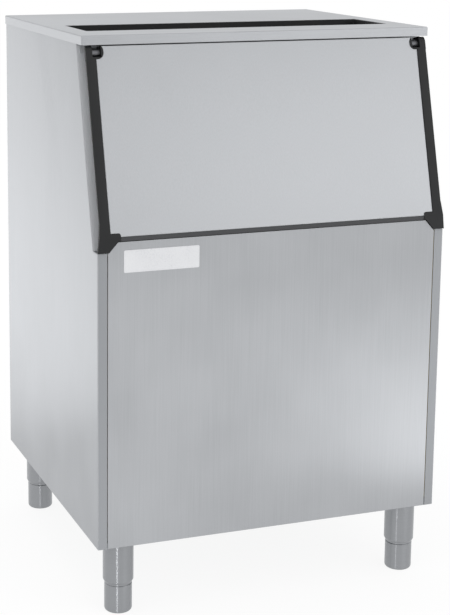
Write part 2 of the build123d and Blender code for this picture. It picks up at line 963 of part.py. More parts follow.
def build():
    """Every node of the bin, by name."""
    nodes = {
        "side_panel_right": side_panel(),
        "front_panel": front_panel(),
        "back_panel": back_panel(),
        "base_panel": base_panel(),
        "leg_plates": leg_plates(),
        "leg_bolts": leg_bolts(),
        "leg_inserts": leg_inserts(),
        "top_cover": top_cover(),
        "opening_collar": opening_collar(),
        "ceiling_panel": ceiling_panel(),
        "top_cover_insulation": top_cover_insulation(),
        "header_rail": header_rail(),
        "breaker_frame": breaker_frame(),
        "liner": liner(),
        "insulation_right": insulation_side(),
        "insulation_back": insulation_back(),
        "insulation_front": insulation_front(),
        "insulation_floor": insulation_floor(),
        "drain_body": drain_body(),
        "drain_washer": drain_washer(),
        "drain_nut": drain_nut(),
        "drain_strainer": drain_strainer(),
        "hinge_bracket_right": hinge_bracket(),
        "hinge_screws": hinge_screws(),
        "hinge_pin_right": hinge_pin(),
        "hinge_bush_right": hinge_bush(),
        "hinge_cap_right": hinge_cap(),
        "door_skin": door_skin(),
        "door_liner": door_liner(),
        "door_insulation": door_insulation(),
        "door_trim_right": door_trim(),
        "door_corner_right": door_corner(),
        "door_bottom_trim": door_bottom_trim(),
        "door_gasket": door_gasket(),
        "back_panel_screws": back_panel_screws(),
        "lid_screws": lid_screws(),
        "label_plate": label_plate(),
    }
    for name in [name for name in nodes if name.endswith("_right")]:
        shapes = nodes[name] if isinstance(nodes[name], list) else [nodes[name]]
        nodes[name.replace("_right", "_left")] = [left_of(shape) for shape in shapes]
    for name, x, y in leg_places():
        nodes["leg_tube_" + name] = leg_tube(x, y)
        nodes["levelling_foot_" + name] = levelling_foot(x, y)
        nodes["foot_stud_" + name] = foot_stud(x, y)
    return nodes


os.makedirs("parts", exist_ok=True)
for name, shape in build().items():
    solids = []
    for piece in shape if isinstance(shape, list) else [shape]:
        solids += piece.solids()
    export_step(solids[0] if len(solids) == 1 else Compound(children=solids), f"parts/{name}.step")

print("pivot", round(pivot_y, 3), round(pivot_z, 3), "y_front", round(y_front, 3))
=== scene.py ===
"""An ice storage bin: its finishes, its detailed pieces and the studio it stands in."""

import logging
import math
from dataclasses import dataclass
from enum import Enum
from typing import Callable, Sequence

import bmesh
import bpy
from mathutils import Matrix, Vector


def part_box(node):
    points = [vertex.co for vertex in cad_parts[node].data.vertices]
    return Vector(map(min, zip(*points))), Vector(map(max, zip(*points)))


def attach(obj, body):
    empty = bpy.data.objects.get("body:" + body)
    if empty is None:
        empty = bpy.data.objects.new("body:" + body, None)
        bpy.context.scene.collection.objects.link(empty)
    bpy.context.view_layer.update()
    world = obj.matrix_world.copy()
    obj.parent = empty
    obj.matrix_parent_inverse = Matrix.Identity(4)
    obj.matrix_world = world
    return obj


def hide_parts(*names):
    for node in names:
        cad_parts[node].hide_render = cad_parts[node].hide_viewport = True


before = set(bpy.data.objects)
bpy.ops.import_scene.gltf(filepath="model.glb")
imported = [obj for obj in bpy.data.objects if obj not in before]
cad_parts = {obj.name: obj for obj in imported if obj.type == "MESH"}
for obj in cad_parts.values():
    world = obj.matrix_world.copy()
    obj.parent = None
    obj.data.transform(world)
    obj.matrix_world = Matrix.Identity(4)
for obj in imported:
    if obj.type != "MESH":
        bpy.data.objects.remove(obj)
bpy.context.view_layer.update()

LOG = logging.getLogger("ice_bin")
MM = 0.001
# A small turn off the grain, so that a face that the grain meets end-on has a direction too.
ASKEW = Vector((0.03, 0.05, 0.04))
WHITE = (1.0, 1.0, 1.0, 1.0)
Outline = list[tuple[float, float]]
Section = list[tuple[float, float]]
Reach = float | Callable[[float], float]
Inputs = tuple[tuple[str, float], ...]
Ring = list[Vector]


def linear(colour: str) -> tuple[float, float, float, float]:
    """Turns an sRGB hex colour to the linear values that the shaders work in.

    Args:
        colour: Six hex digits, red, green and blue.

    Returns:
        Linear red, green and blue, and an alpha of 1.
    """
    shares = [int(colour[index:index + 2], 16) / 255 for index in (0, 2, 4)]
    red, green, blue = [
        share / 12.92 if share <= 0.04045 else ((share + 0.055) / 1.055) ** 2.4
        for share in shares
    ]
    return (red, green, blue, 1.0)


def add_node(
    tree: bpy.types.NodeTree, kind: str, inputs: dict | None = None, **settings: object
) -> bpy.types.Node:
    """Adds one shader node with its settings, values and links.

    Args:
        tree: The node tree that gets it.
        kind: The node's type name.
        inputs: A value or an output socket for each input, by the input's name or number.
        settings: The node's own properties.

    Returns:
        The new node.
    """
    node = tree.nodes.new(kind)
    for name, value in settings.items():
        setattr(node, name, value)
    for name, value in (inputs or {}).items():
        if isinstance(value, bpy.types.NodeSocket):
            tree.links.new(value, node.inputs[name])
        else:
            node.inputs[name].default_value = value
    return node


class Side(Enum):
    """A side of the bin, seen from the front, as the sign of its X."""

    LEFT = -1
    RIGHT = 1

    @property
    def word(self) -> str:
        """The side as the nodes' names spell it."""
        return self.name.lower()


class Grain(Enum):
    """Which way a finish's fine lines run, as the length of a line along X, Y and Z."""

    UPRIGHT = (0.0, 0.0, 1.0)
    ACROSS = (1.0, 0.0, 0.0)
    ROUND = (1.0, 1.0, 0.0)
    EVEN = (0.0, 0.0, 0.0)


@dataclass(frozen=True)
class Finish:
    """A surface finish: two tones, gloss, and a fine and a broad pattern over them.

    Attributes:
        name: The material's name.
        slot: The record's material slot that it stands for; not used.
        dark: The darker tone of its fine pattern.
        light: The lighter tone of its fine pattern.
        roughness: The least and the most roughness.
        line_mm: The width of one line or speck of the fine pattern.
        line_length_mm: The length of one line along the grain.
        grain: Which way the lines run.
        cloud_mm: The width of the broad, soft unevenness.
        relief_mm: How deep the fine pattern is cut.
        metallic: 1 for a metal.
        anisotropy: How far a brushed metal stretches its highlights.
        ior: The refractive index of a surface that isn't metal.
        fine_noise: The settings of the fine pattern.
        cloud_noise: The settings of the broad unevenness.
        contrast: The sum of both patterns that is all dark, and the one that is all light.
    """

    name: str
    slot: str
    dark: str
    light: str
    roughness: tuple[float, float]
    line_mm: float
    line_length_mm: float = 0.0
    grain: Grain = Grain.EVEN
    cloud_mm: float = 180.0
    relief_mm: float = 0.02
    metallic: float = 0.0
    anisotropy: float = 0.0
    ior: float = 1.5
    fine_noise: Inputs = (("Scale", 1.0), ("Detail", 3.0), ("Roughness", 0.6))
    cloud_noise: Inputs = (("Detail", 2.0), ("Roughness", 0.5))
    contrast: tuple[float, float] = (0.7, 1.3)

    def fine_pattern(
        self, tree: bpy.types.NodeTree, place: bpy.types.NodeSocket
    ) -> bpy.types.NodeSocket:
        """Draws the lines or specks, from 0 to 1, at their real size.

        Args:
            tree: The material's node tree.
            place: The point on the object, in metres.

        Returns:
            The pattern's value.
        """
        length = max(self.line_length_mm, self.line_mm)
        sizes = [length if along else self.line_mm for along in self.grain.value]
        scale = [1 / (size * MM) for size in sizes]
        mapped = add_node(tree, "ShaderNodeMapping", {"Vector": place, "Scale": scale})
        noise = add_node(
            tree, "ShaderNodeTexNoise",
            {"Vector": mapped.outputs["Vector"], **dict(self.fine_noise)},
        )
        return noise.outputs["Fac"]

    def across_grain(self, tree: bpy.types.NodeTree) -> bpy.types.NodeSocket:
        """The direction on the surface, square to the lines, that highlights stretch along.

        Args:
            tree: The material's node tree.

        Returns:
            The direction.
        """
        if self.grain is Grain.ROUND:
            upright = add_node(tree, "ShaderNodeCombineXYZ", {0: ASKEW.x, 1: ASKEW.y, 2: 1.0})
            return upright.outputs["Vector"]
        lines = Vector(self.grain.value) + ASKEW
        facing = add_node(tree, "ShaderNodeNewGeometry").outputs["Normal"]
        crossed = add_node(
            tree, "ShaderNodeVectorMath", {0: lines, 1: facing}, operation="CROSS_PRODUCT"
        )
        return crossed.outputs["Vector"]

    def material(self) -> bpy.types.Material:
        """Builds the material.

        Returns:
            The material, ready to assign.
        """
        made = bpy.data.materials.new(self.name)
        made.use_nodes = True
        tree = made.node_tree
        tree.nodes.clear()
        place = add_node(tree, "ShaderNodeTexCoord").outputs["Object"]
        fine = self.fine_pattern(tree, place)
        cloud = add_node(
            tree, "ShaderNodeTexNoise",
            {"Vector": place, "Scale": 1 / (self.cloud_mm * MM), **dict(self.cloud_noise)},
        ).outputs["Fac"]
        both = add_node(
            tree, "ShaderNodeMath", {0: fine, 1: cloud}, operation="ADD"
        ).outputs["Value"]
        share = add_node(
            tree, "ShaderNodeMapRange",
            {"Value": both, "From Min": self.contrast[0], "From Max": self.contrast[1]},
        ).outputs["Result"]
        tone = add_node(
            tree, "ShaderNodeMix",
            {"Factor": share, "A": linear(self.dark), "B": linear(self.light)},
            data_type="RGBA",
        )
        gloss = add_node(
            tree, "ShaderNodeMapRange",
            {"Value": share, "To Min": self.roughness[0], "To Max": self.roughness[1]},
        )
        relief = add_node(
            tree, "ShaderNodeBump",
            {"Strength": 1.0, "Distance": self.relief_mm * MM, "Height": fine},
        )
        inputs = {
            "Base Color": tone.outputs[2],
            "Roughness": gloss.outputs["Result"],
            "Normal": relief.outputs["Normal"],
            "Metallic": self.metallic,
            "Anisotropic": self.anisotropy,
            "IOR": self.ior,
        }
        if self.anisotropy:
            inputs["Tangent"] = self.across_grain(tree)
        shader = add_node(tree, "ShaderNodeBsdfPrincipled", inputs)
        add_node(tree, "ShaderNodeOutputMaterial", {"Surface": shader.outputs["BSDF"]})
        return made


# Satin stainless sheet, belt-ground upright: soft broad reflections and a faint upright grain. The
# real lines are about 0.1 mm wide, too fine to show, so they are drawn 1.2 mm wide.
SATIN_UPRIGHT = Finish(
    "satin_stainless_upright_grain", "satin_stainless", "ABADB0", "B7B9BC", (0.42, 0.5), 1.2, 160.0,
    Grain.UPRIGHT, relief_mm=0.004, metallic=1.0, anisotropy=0.6,
)
# The same sheet with its grain along the lid's length.
SATIN_ACROSS = Finish(
    "satin_stainless_cross_grain", "satin_stainless", "ABADB0", "B7B9BC", (0.4, 0.48), 1.2, 160.0,
    Grain.ACROSS, relief_mm=0.004, metallic=1.0, anisotropy=0.6,
)
# The side sheets' folded front flanges: left dull from the rolling mill, so they read as darker,
# even bands beside the ground sheets and still show where the door shades them.
MILL_DULL = Finish(
    "mill_dull_stainless_flange", "satin_stainless", "B2B4B7", "BABCBF", (0.82, 0.9), 1.2, 160.0,
    Grain.UPRIGHT, relief_mm=0.004, metallic=1.0,
)
# The same flange behind the door, where the trim's lip shades it: painted paler and quite matt, as
# painted light, so that it shows as a grey band beside the black trim instead of a dark one.
PAINTED_LIGHT_FLANGE = Finish(
    "pale_flange_painted_light", "satin_stainless", "D0D2D5", "D8DADD", (0.82, 0.9), 1.2, 160.0,
    Grain.UPRIGHT, relief_mm=0.004, metallic=0.4,
)
# Drawn tube, polished round on a lathe: the fine rings draw each lamp out to a narrow upright line.
POLISHED_TUBE = Finish(
    "polished_leg_tube_steel", "brushed_leg_steel", "97999C", "9FA1A4", (0.28, 0.34), 0.8, 60.0,
    Grain.ROUND, cloud_mm=60.0, relief_mm=0.0003, metallic=1.0, anisotropy=1.0,
)
# Hot-dip galvanised sheet: dull grey with soft spangles about 9 mm wide.
GALVANISED = Finish(
    "galvanised_sheet", "galvanised_steel", "8E9294", "A9ADAF", (0.4, 0.56), 9.0,
    cloud_mm=120.0, relief_mm=0.01, metallic=1.0,
)
# Zinc-plated fasteners: bright, slightly blue, with a dull bloom.
ZINC = Finish(
    "zinc_plated_fastener_steel", "zinc_plated_steel", "9FA3A8", "BCC0C4", (0.24, 0.4), 1.5,
    cloud_mm=12.0, relief_mm=0.01, metallic=1.0,
)
# Cast and blasted stainless: an even, grainy grey.
CAST = Finish(
    "blasted_cast_stainless", "cast_stainless", "6C6D70", "818285", (0.4, 0.56), 0.7,
    cloud_mm=20.0, relief_mm=0.04, metallic=1.0,
)
# The same casting's foot, painted pale and as dull as the flange that it lies on: painted light,
# like that flange's.
CAST_FOOT_PAINTED_LIGHT = Finish(
    "pale_cast_foot_painted_light", "cast_stainless", "C6C8CB", "D0D2D5", (0.82, 0.9), 0.7,
    cloud_mm=20.0, relief_mm=0.02, metallic=0.4,
)
# Rigid polyurethane foam: cream, chalky, with open cells.
FOAM = Finish(
    "rigid_polyurethane_foam", "foam", "D8C98F", "EADFB4", (0.8, 0.95), 2.4,
    cloud_mm=70.0, relief_mm=0.4, ior=1.45,
)
# Moulded polyethylene tub: a soft, slightly waxy white with an orange-peel skin.
POLYETHYLENE = Finish(
    "moulded_polyethylene", "liner_plastic", "D3D8DB", "DDE1E3", (0.34, 0.44), 5.0,
    cloud_mm=240.0, relief_mm=0.05, ior=1.51,
)
# Vacuum-formed white ABS: smooth and satin, a little warmer than the tub.
WHITE_ABS = Finish(
    "formed_white_abs", "white_plastic", "DCDCD8", "E5E5E1", (0.3, 0.4), 2.5,
    cloud_mm=150.0, relief_mm=0.02, ior=1.53,
)
# Extruded soft vinyl: dark grey and dull, with lines along its length too fine to see.
VINYL = Finish(
    "extruded_gasket_vinyl", "gasket_rubber", "4A4B4D", "57585A", (0.5, 0.62), 1.2,
    cloud_mm=40.0, relief_mm=0.03, ior=1.52,
)
# Moulded black ABS with a fine spark-eroded texture, which dulls it to charcoal.
BLACK_ABS = Finish(
    "textured_black_abs", "black_plastic", "0E0F10", "151618", (0.52, 0.66), 0.9,
    cloud_mm=50.0, relief_mm=0.03, ior=1.45,
)
# Extruded vinyl strip along the door's lower edge: a dull dark grey, paler than the mouldings.
GREY_STRIP = Finish(
    "extruded_grey_door_strip", "black_plastic", "3A3B3D", "414244", (0.6, 0.72), 1.2,
    cloud_mm=60.0, relief_mm=0.02, ior=1.45,
)
# White enamelled aluminium: clean and glossy, with a slight orange peel.
WHITE_ENAMEL = Finish(
    "white_enamelled_plate", "white_plate", "D2D3D6", "DADBDD", (0.26, 0.34), 3.0,
    cloud_mm=60.0, relief_mm=0.01, ior=1.5,
)


def rounded_outline(points: Outline, radius: float, steps: int = 4) -> Outline:
    """Rounds each corner of an outline with an arc.

    Args:
        points: The outline's corners, in order.
        radius: The radius of every corner.
        steps: How many edges each arc has.

    Returns:
        The rounded outline, with the same number of points for each corner.
    """
    rounded: Outline = []
    for index, point in enumerate(points):
        corner = Vector(point)
        before = (Vector(points[index - 1]) - corner).normalized()
        after = (Vector(points[(index + 1) % len(points)]) - corner).normalized()
        half = before.angle(after) / 2
        middle = corner + (before + after).normalized() * radius / math.sin(half)
        start = corner + before * radius / math.tan(half) - middle
        end = corner + after * radius / math.tan(half) - middle
        sweep = start.angle_signed(end)
        for step in range(steps + 1):
            turned = Matrix.Rotation(-sweep * step / steps, 2) @ start
            rounded.append(tuple(middle + turned))
    return rounded


def inset_outline(points: Outline, inset: float) -> Outline:
    """Moves each edge of an outline inwards and meets its neighbours again.

    Args:
        points: The outline's corners, anticlockwise.
        inset: How far inwards.

    Returns:
        As many corners as before.
    """
    moved: Outline = []
    for index, point in enumerate(points):
        corner = Vector(point)
        before = (corner - Vector(points[index - 1])).normalized()
        after = (Vector(points[(index + 1) % len(points)]) - corner).normalized()
        inward = Vector((-before.y, before.x)) + Vector((-after.y, after.x))
        moved.append(tuple(corner + inward * inset / (1 + before.dot(after))))
    return moved


def round_rectangle(
    half: float, low: float, high: float, radius: float, inset: float = 0.0
) -> Outline:
    """A rounded rectangle about a middle line, whose corners stay a little round at any inset.

    Args:
        half: Half its width.
        low: Its lower edge.
        high: Its upper edge.
        radius: The corners' radius before the inset.
        inset: How far it is drawn in all round.

    Returns:
        Its outline.
    """
    least_share = 1 / 8
    edge, foot, head = half - inset, low + inset, high - inset
    corners = [(-edge, foot), (edge, foot), (edge, head), (-edge, head)]
    return rounded_outline(corners, max(radius - inset, radius * least_share))


def ring(radius: Reach, height: float, count: int = 48) -> list[tuple[float, float, float]]:
    """Points round an axis at one height.

    Args:
        radius: The radius, or a function of the angle that gives it.
        height: The height along the axis.
        count: How many points.

    Returns:
        The points, as across, across and along.
    """
    points = []
    for index in range(count):
        angle = math.tau * index / count
        reach = radius(angle) if callable(radius) else radius
        points.append((reach * math.cos(angle), reach * math.sin(angle), height))
    return points


def loft(shell: bmesh.types.BMesh, rings: Sequence[Ring], closed: bool = False) -> None:
    """Joins rings of points, one after the other, into a closed solid.

    Args:
        shell: The mesh that gets the faces.
        rings: Rings with as many points each, in metres.
        closed: Whether the last ring joins the first, instead of both getting a cap.
    """
    loops = [[shell.verts.new(point) for point in points] for points in rings]
    count = len(loops[0])
    pairs = list(zip(loops, loops[1:]))
    if closed:
        pairs.append((loops[-1], loops[0]))
    for near, far in pairs:
        for index in range(count):
            following = (index + 1) % count
            shell.faces.new((near[index], near[following], far[following], far[index]))
    if not closed:
        shell.faces.new(list(reversed(loops[0])))
        shell.faces.new(loops[-1])


@dataclass
class Workshop:
    """Makes pieces and dresses them, and reports each one.

    Attributes:
        smooth_degrees: Two faces that meet at more than this have a sharp edge between them.
        flat_degrees: Two faces that meet at less than this are one flat face.
        weld_mm: Points nearer to each other than this are one.
        round_segments: How many faces each softened edge has.
    """

    smooth_degrees: float = 32.0
    flat_degrees: float = 0.5
    weld_mm: float = 0.01
    round_segments: int = 3

    def __post_init__(self) -> None:
        """Keeps each finish's material, so that it is made once."""
        self.made: dict[str, bpy.types.Material] = {}

    def material(self, finish: Finish) -> bpy.types.Material:
        """The material of a finish, made the first time it is asked for."""
        if finish.name not in self.made:
            self.made[finish.name] = finish.material()
        return self.made[finish.name]

    def dress(self, finish: Finish, *nodes: str, edge_mm: float = 0.4) -> None:
        """Gives CAD nodes their finish and takes the sharpness off their edges.

        Args:
            finish: What they are finished in.
            nodes: Their names.
            edge_mm: The radius worn or folded onto their edges, or 0 for none.
        """
        for name in nodes:
            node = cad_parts[name]
            if not node.material_slots:
                node.data.materials.append(None)
            for slot in node.material_slots:
                slot.material = self.material(finish)
            if edge_mm:
                self.soften(node, edge_mm)
            LOG.info("node %s: %s", name, finish.name)

    def soften(self, piece: bpy.types.Object, edge_mm: float) -> None:
        """Rounds a piece's sharp edges.

        Args:
            piece: The piece.
            edge_mm: The radius of the rounding.
        """
        weld = piece.modifiers.new("joined_faces", "WELD")
        weld.merge_threshold = self.weld_mm * MM
        flat = piece.modifiers.new("flat_faces", "DECIMATE")
        flat.decimate_type = "DISSOLVE"
        flat.angle_limit = math.radians(self.flat_degrees)
        bevel = piece.modifiers.new("soft_edges", "BEVEL")
        bevel.width = edge_mm * MM
        bevel.segments = self.round_segments
        bevel.limit_method = "ANGLE"
        bevel.angle_limit = math.radians(self.smooth_degrees)
        bevel.miter_outer = "MITER_ARC"
        bevel.harden_normals = False
        normals = piece.modifiers.new("even_shading", "WEIGHTED_NORMAL")
        normals.keep_sharp = True

    def piece(
        self, name: str, shell: bmesh.types.BMesh, finish: Finish, body: str, *nodes: str
    ) -> bpy.types.Object:
        """Turns a finished shell into a piece that rides on a body and stands for CAD nodes.

        Args:
            name: The piece's name.
            shell: Its mesh, in metres in the shared frame.
            finish: Its finish.
            body: The body that carries it.
            nodes: The CAD nodes that it stands for.

        Returns:
            The piece.
        """
        bmesh.ops.recalc_face_normals(shell, faces=shell.faces)
        mesh = bpy.data.meshes.new(name)
        shell.to_mesh(mesh)
        shell.free()
        mesh.polygons.foreach_set("use_smooth", [True] * len(mesh.polygons))
        mesh.set_sharp_from_angle(angle=math.radians(self.smooth_degrees))
        made = bpy.data.objects.new(name, mesh)
        bpy.context.scene.collection.objects.link(made)
        made.data.materials.append(self.material(finish))
        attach(made, body)
        if nodes:
            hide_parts(*nodes)
        LOG.info("piece %s: %s, rides on %s", name, finish.name, body)
        return made


@dataclass(frozen=True)
class DoorSlope:
    """The door's own directions, across, up its face and out from it, and places along them.

    Attributes:
        lean_degrees: How far the shut door leans back.
        pin_up_mm: How far the hinge pin's axis lies up the face from the door's lower edge.
        pin_in_mm: How far the axis lies behind the face.
    """

    lean_degrees: float = 15.0
    pin_up_mm: float = 364.046
    pin_in_mm: float = 16.0

    def at(self, across: float, up: float, out: float) -> Vector:
        """The place, in metres, of a point given in the door's own millimetres."""
        low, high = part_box("hinge_pin_right")
        lean = math.radians(self.lean_degrees)
        sine, cosine = math.sin(lean), math.cos(lean)
        rise = (up - self.pin_up_mm) * MM
        reach = (out + self.pin_in_mm) * MM
        y = (low.y + high.y) / 2 + rise * sine - reach * cosine
        z = (low.z + high.z) / 2 + rise * cosine + reach * sine
        return Vector((across * MM, y, z))

    def depth_at(self, height: float, out: float) -> float:
        """The Y, in metres, of a plane out from the door's face, at a height in metres."""
        foot = self.at(0, 0, out)
        return foot.y + (height - foot.z) * math.tan(math.radians(self.lean_degrees))


SLOPE = DoorSlope()


@dataclass
class Cabinet:
    """The sheet metal body, its tub and its foam.

    Attributes:
        sheet_mm: The side sheets' thickness.
        fold_mm: The outer radius of their folds.
        flange_mm: How far their flanges reach in.
        flange_setback_mm: How far the sloping flange lies behind the door's face.
        ledge_mm: The height of the ledge under the door.
        fold_steps: How many faces each fold has.
        flange_facing: A face whose normal's Y is less than this belongs to a front flange.
    """

    sheet_mm: float = 1.0
    fold_mm: float = 2.4
    flange_mm: float = 20.0
    flange_setback_mm: float = 38.5
    ledge_mm: float = 757.0
    fold_steps: int = 5
    flange_facing: float = -0.9

    def side_outline(self) -> Outline:
        """The side panel seen from the right, in metres of Y and Z, anticlockwise."""
        low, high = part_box("side_panel_right")
        ledge = self.ledge_mm * MM
        back = -self.flange_setback_mm
        return [
            (low.y, low.z),
            (high.y, low.z),
            (high.y, high.z),
            (SLOPE.depth_at(high.z, back), high.z),
            (SLOPE.depth_at(ledge, back), ledge),
            (low.y, ledge),
        ]

    def fold_section(self) -> Section:
        """How far in and how deep the sheet's surface lies, from outside round to inside."""
        fold = self.fold_mm
        quarter = [math.pi / 2 * step / self.fold_steps for step in range(self.fold_steps + 1)]
        outside, inside = [
            [(fold - radius * math.sin(turn), fold - radius * math.cos(turn)) for turn in quarter]
            for radius in (fold, fold - self.sheet_mm)
        ]
        edge = [(0.0, self.flange_mm), (self.sheet_mm, self.flange_mm)]
        return outside + edge + inside[::-1]

    def side_panel(self, shop: Workshop, side: Side) -> None:
        """One side, folded in all round with a rounded fold.

        Args:
            shop: The workshop.
            side: Which side.
        """
        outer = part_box("side_panel_right")[1].x
        shell = bmesh.new()
        rings = []
        for inset, depth in self.fold_section():
            drawn = inset_outline(self.side_outline(), inset * MM)
            x = side.value * (outer - depth * MM)
            rings.append([Vector((x, y, z)) for y, z in drawn])
        loft(shell, rings)
        panel = shop.piece(
            f"folded_side_panel_{side.word}", shell, SATIN_UPRIGHT, "cabinet",
            f"side_panel_{side.word}",
        )
        # Flange faces behind the door get a paler copy of the steel: painted light where the door's
        # trim shades them.
        dull_index, painted_light_index = 1, 2
        panel.data.materials.append(shop.material(MILL_DULL))
        panel.data.materials.append(shop.material(PAINTED_LIGHT_FLANGE))
        for face in panel.data.polygons:
            if face.normal.y < self.flange_facing:
                behind_door = face.center.z > self.ledge_mm * MM
                face.material_index = painted_light_index if behind_door else dull_index

    def build(self, shop: Workshop) -> None:
        """Makes and dresses the whole cabinet."""
        for side in Side:
            self.side_panel(shop, side)
        shop.dress(SATIN_UPRIGHT, "front_panel", edge_mm=0.45)
        shop.dress(GALVANISED, "back_panel", "base_panel", "header_rail")
        shop.dress(POLYETHYLENE, "liner", "ceiling_panel", edge_mm=0.8)
        shop.dress(WHITE_ABS, "breaker_frame", edge_mm=1.2)
        foams = [f"insulation_{place}" for place in ("left", "right", "back", "front", "floor")]
        shop.dress(FOAM, *foams, edge_mm=1.0)


@dataclass
class Lid:
    """The cover that the ice maker stands on, and the collar in its opening."""

    def build(self, shop: Workshop) -> None:
        """Dresses the lid, the collar and the lid's foam."""
        shop.dress(SATIN_ACROSS, "top_cover", edge_mm=0.0)
        shop.dress(BLACK_ABS, "opening_collar", edge_mm=0.5)
        shop.dress(FOAM, "top_cover_insulation", edge_mm=1.0)


@dataclass
class Door:
    """The lift-up door with its black mouldings.

    Attributes:
        half_mm: Half the door's width between its trims.
        trim_reach_mm: How far each trim reaches beyond that.
        trim_low_mm: Where the trims begin, up the door.
        trim_high_mm: Where they end.
        trim_proud_mm: How far they stand out from the face.
        trim_lip_mm: The thickness of the finger grip's lip.
        trim_web_mm: The thickness of the web beside the door.
        depth_mm: The door's thickness.
        edge_round_mm: The radius of the trims' edges.
        gasket_half_mm: Half the gasket's width.
        gasket_low_mm: Where the gasket begins, up the door.
        gasket_high_mm: Where it ends.
        gasket_round_mm: The radius of its corners.
        gasket_section: How far in and how deep its surface lies, all round its section.
    """

    half_mm: float = 354.0
    trim_reach_mm: float = 20.5
    trim_low_mm: float = 28.0
    trim_high_mm: float = 350.046
    trim_proud_mm: float = 1.5
    trim_lip_mm: float = 6.0
    trim_web_mm: float = 4.0
    depth_mm: float = 32.0
    edge_round_mm: float = 1.2
    gasket_half_mm: float = 340.0
    gasket_low_mm: float = 6.0
    gasket_high_mm: float = 350.046
    gasket_round_mm: float = 16.0
    gasket_section: tuple[tuple[float, float], ...] = (
        (1.5, 0.0), (1.5, 1.4), (3.0, 2.2), (0.6, 3.2), (0.0, 4.4), (0.6, 5.6), (2.2, 6.2),
        (11.8, 6.2), (13.4, 5.6), (14.0, 4.4), (13.4, 3.2), (11.0, 2.2), (12.5, 1.4), (12.5, 0.0),
    )

    def trim(self, shop: Workshop, side: Side) -> None:
        """A side trim: a web beside the door and a rounded lip that is the finger grip.

        Args:
            shop: The workshop.
            side: Which side.
        """
        near = self.half_mm
        far = near + self.trim_reach_mm
        web = near + self.trim_web_mm
        front = self.trim_proud_mm
        lip = front - self.trim_lip_mm
        back = -self.depth_mm
        corners = [(near, front), (near, back), (web, back), (web, lip), (far, lip), (far, front)]
        section = rounded_outline(corners, self.edge_round_mm)
        shell = bmesh.new()
        rings = []
        for up in (self.trim_low_mm, self.trim_high_mm):
            rings.append([SLOPE.at(side.value * across, up, out) for across, out in section])
        loft(shell, rings)
        shop.piece(f"grip_trim_{side.word}", shell, BLACK_ABS, "door", f"door_trim_{side.word}")

    def gasket(self, shop: Workshop) -> None:
        """The magnetic gasket: a necked cushion all round the door's back."""
        seat = -self.depth_mm
        shell = bmesh.new()
        rings = []
        for inset, depth in self.gasket_section:
            drawn = round_rectangle(
                self.gasket_half_mm, self.gasket_low_mm, self.gasket_high_mm,
                self.gasket_round_mm, inset,
            )
            rings.append([SLOPE.at(across, up, seat - depth) for across, up in drawn])
        loft(shell, rings, closed=True)
        shop.piece("magnetic_door_gasket", shell, VINYL, "door", "door_gasket")

    def build(self, shop: Workshop) -> None:
        """Makes and dresses the whole door."""
        for side in Side:
            self.trim(shop, side)
        self.gasket(shop)
        shop.dress(SATIN_UPRIGHT, "door_skin", edge_mm=0.0)
        shop.dress(WHITE_ABS, "door_liner", edge_mm=1.0)
        shop.dress(FOAM, "door_insulation", edge_mm=1.0)
        shop.dress(BLACK_ABS, "door_corner_left", "door_corner_right", edge_mm=1.6)
        shop.dress(GREY_STRIP, "door_bottom_trim", edge_mm=0.8)


@dataclass
class Hinges:
    """The two hinges in the door's top corners.

    Attributes:
        lug_root_mm: Where the brackets' feet end and their lugs begin, along Y.
    """

    lug_root_mm: float = -215.0

    def bracket(self, shop: Workshop, side: Side) -> None:
        """Dresses one bracket: its lug blasted, its foot painted pale, as painted light.

        Args:
            shop: The workshop.
            side: Which side.
        """
        name = f"hinge_bracket_{side.word}"
        shop.dress(CAST, name, edge_mm=0.6)
        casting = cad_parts[name]
        # The foot gets a paler copy of the cast steel: painted light, like the flange under it.
        casting.data.materials.append(shop.material(CAST_FOOT_PAINTED_LIGHT))
        for face in casting.data.polygons:
            if (casting.matrix_world @ face.center).y > self.lug_root_mm * MM:
                face.material_index = len(casting.data.materials) - 1

    def build(self, shop: Workshop) -> None:
        """Dresses both hinges."""
        for side in Side:
            shop.dress(BLACK_ABS, f"hinge_cap_{side.word}", edge_mm=1.4)
            self.bracket(shop, side)
            shop.dress(ZINC, f"hinge_pin_{side.word}", edge_mm=0.5)
            shop.dress(WHITE_ABS, f"hinge_bush_{side.word}", edge_mm=0.3)
        shop.dress(ZINC, "hinge_screws", edge_mm=0.4)


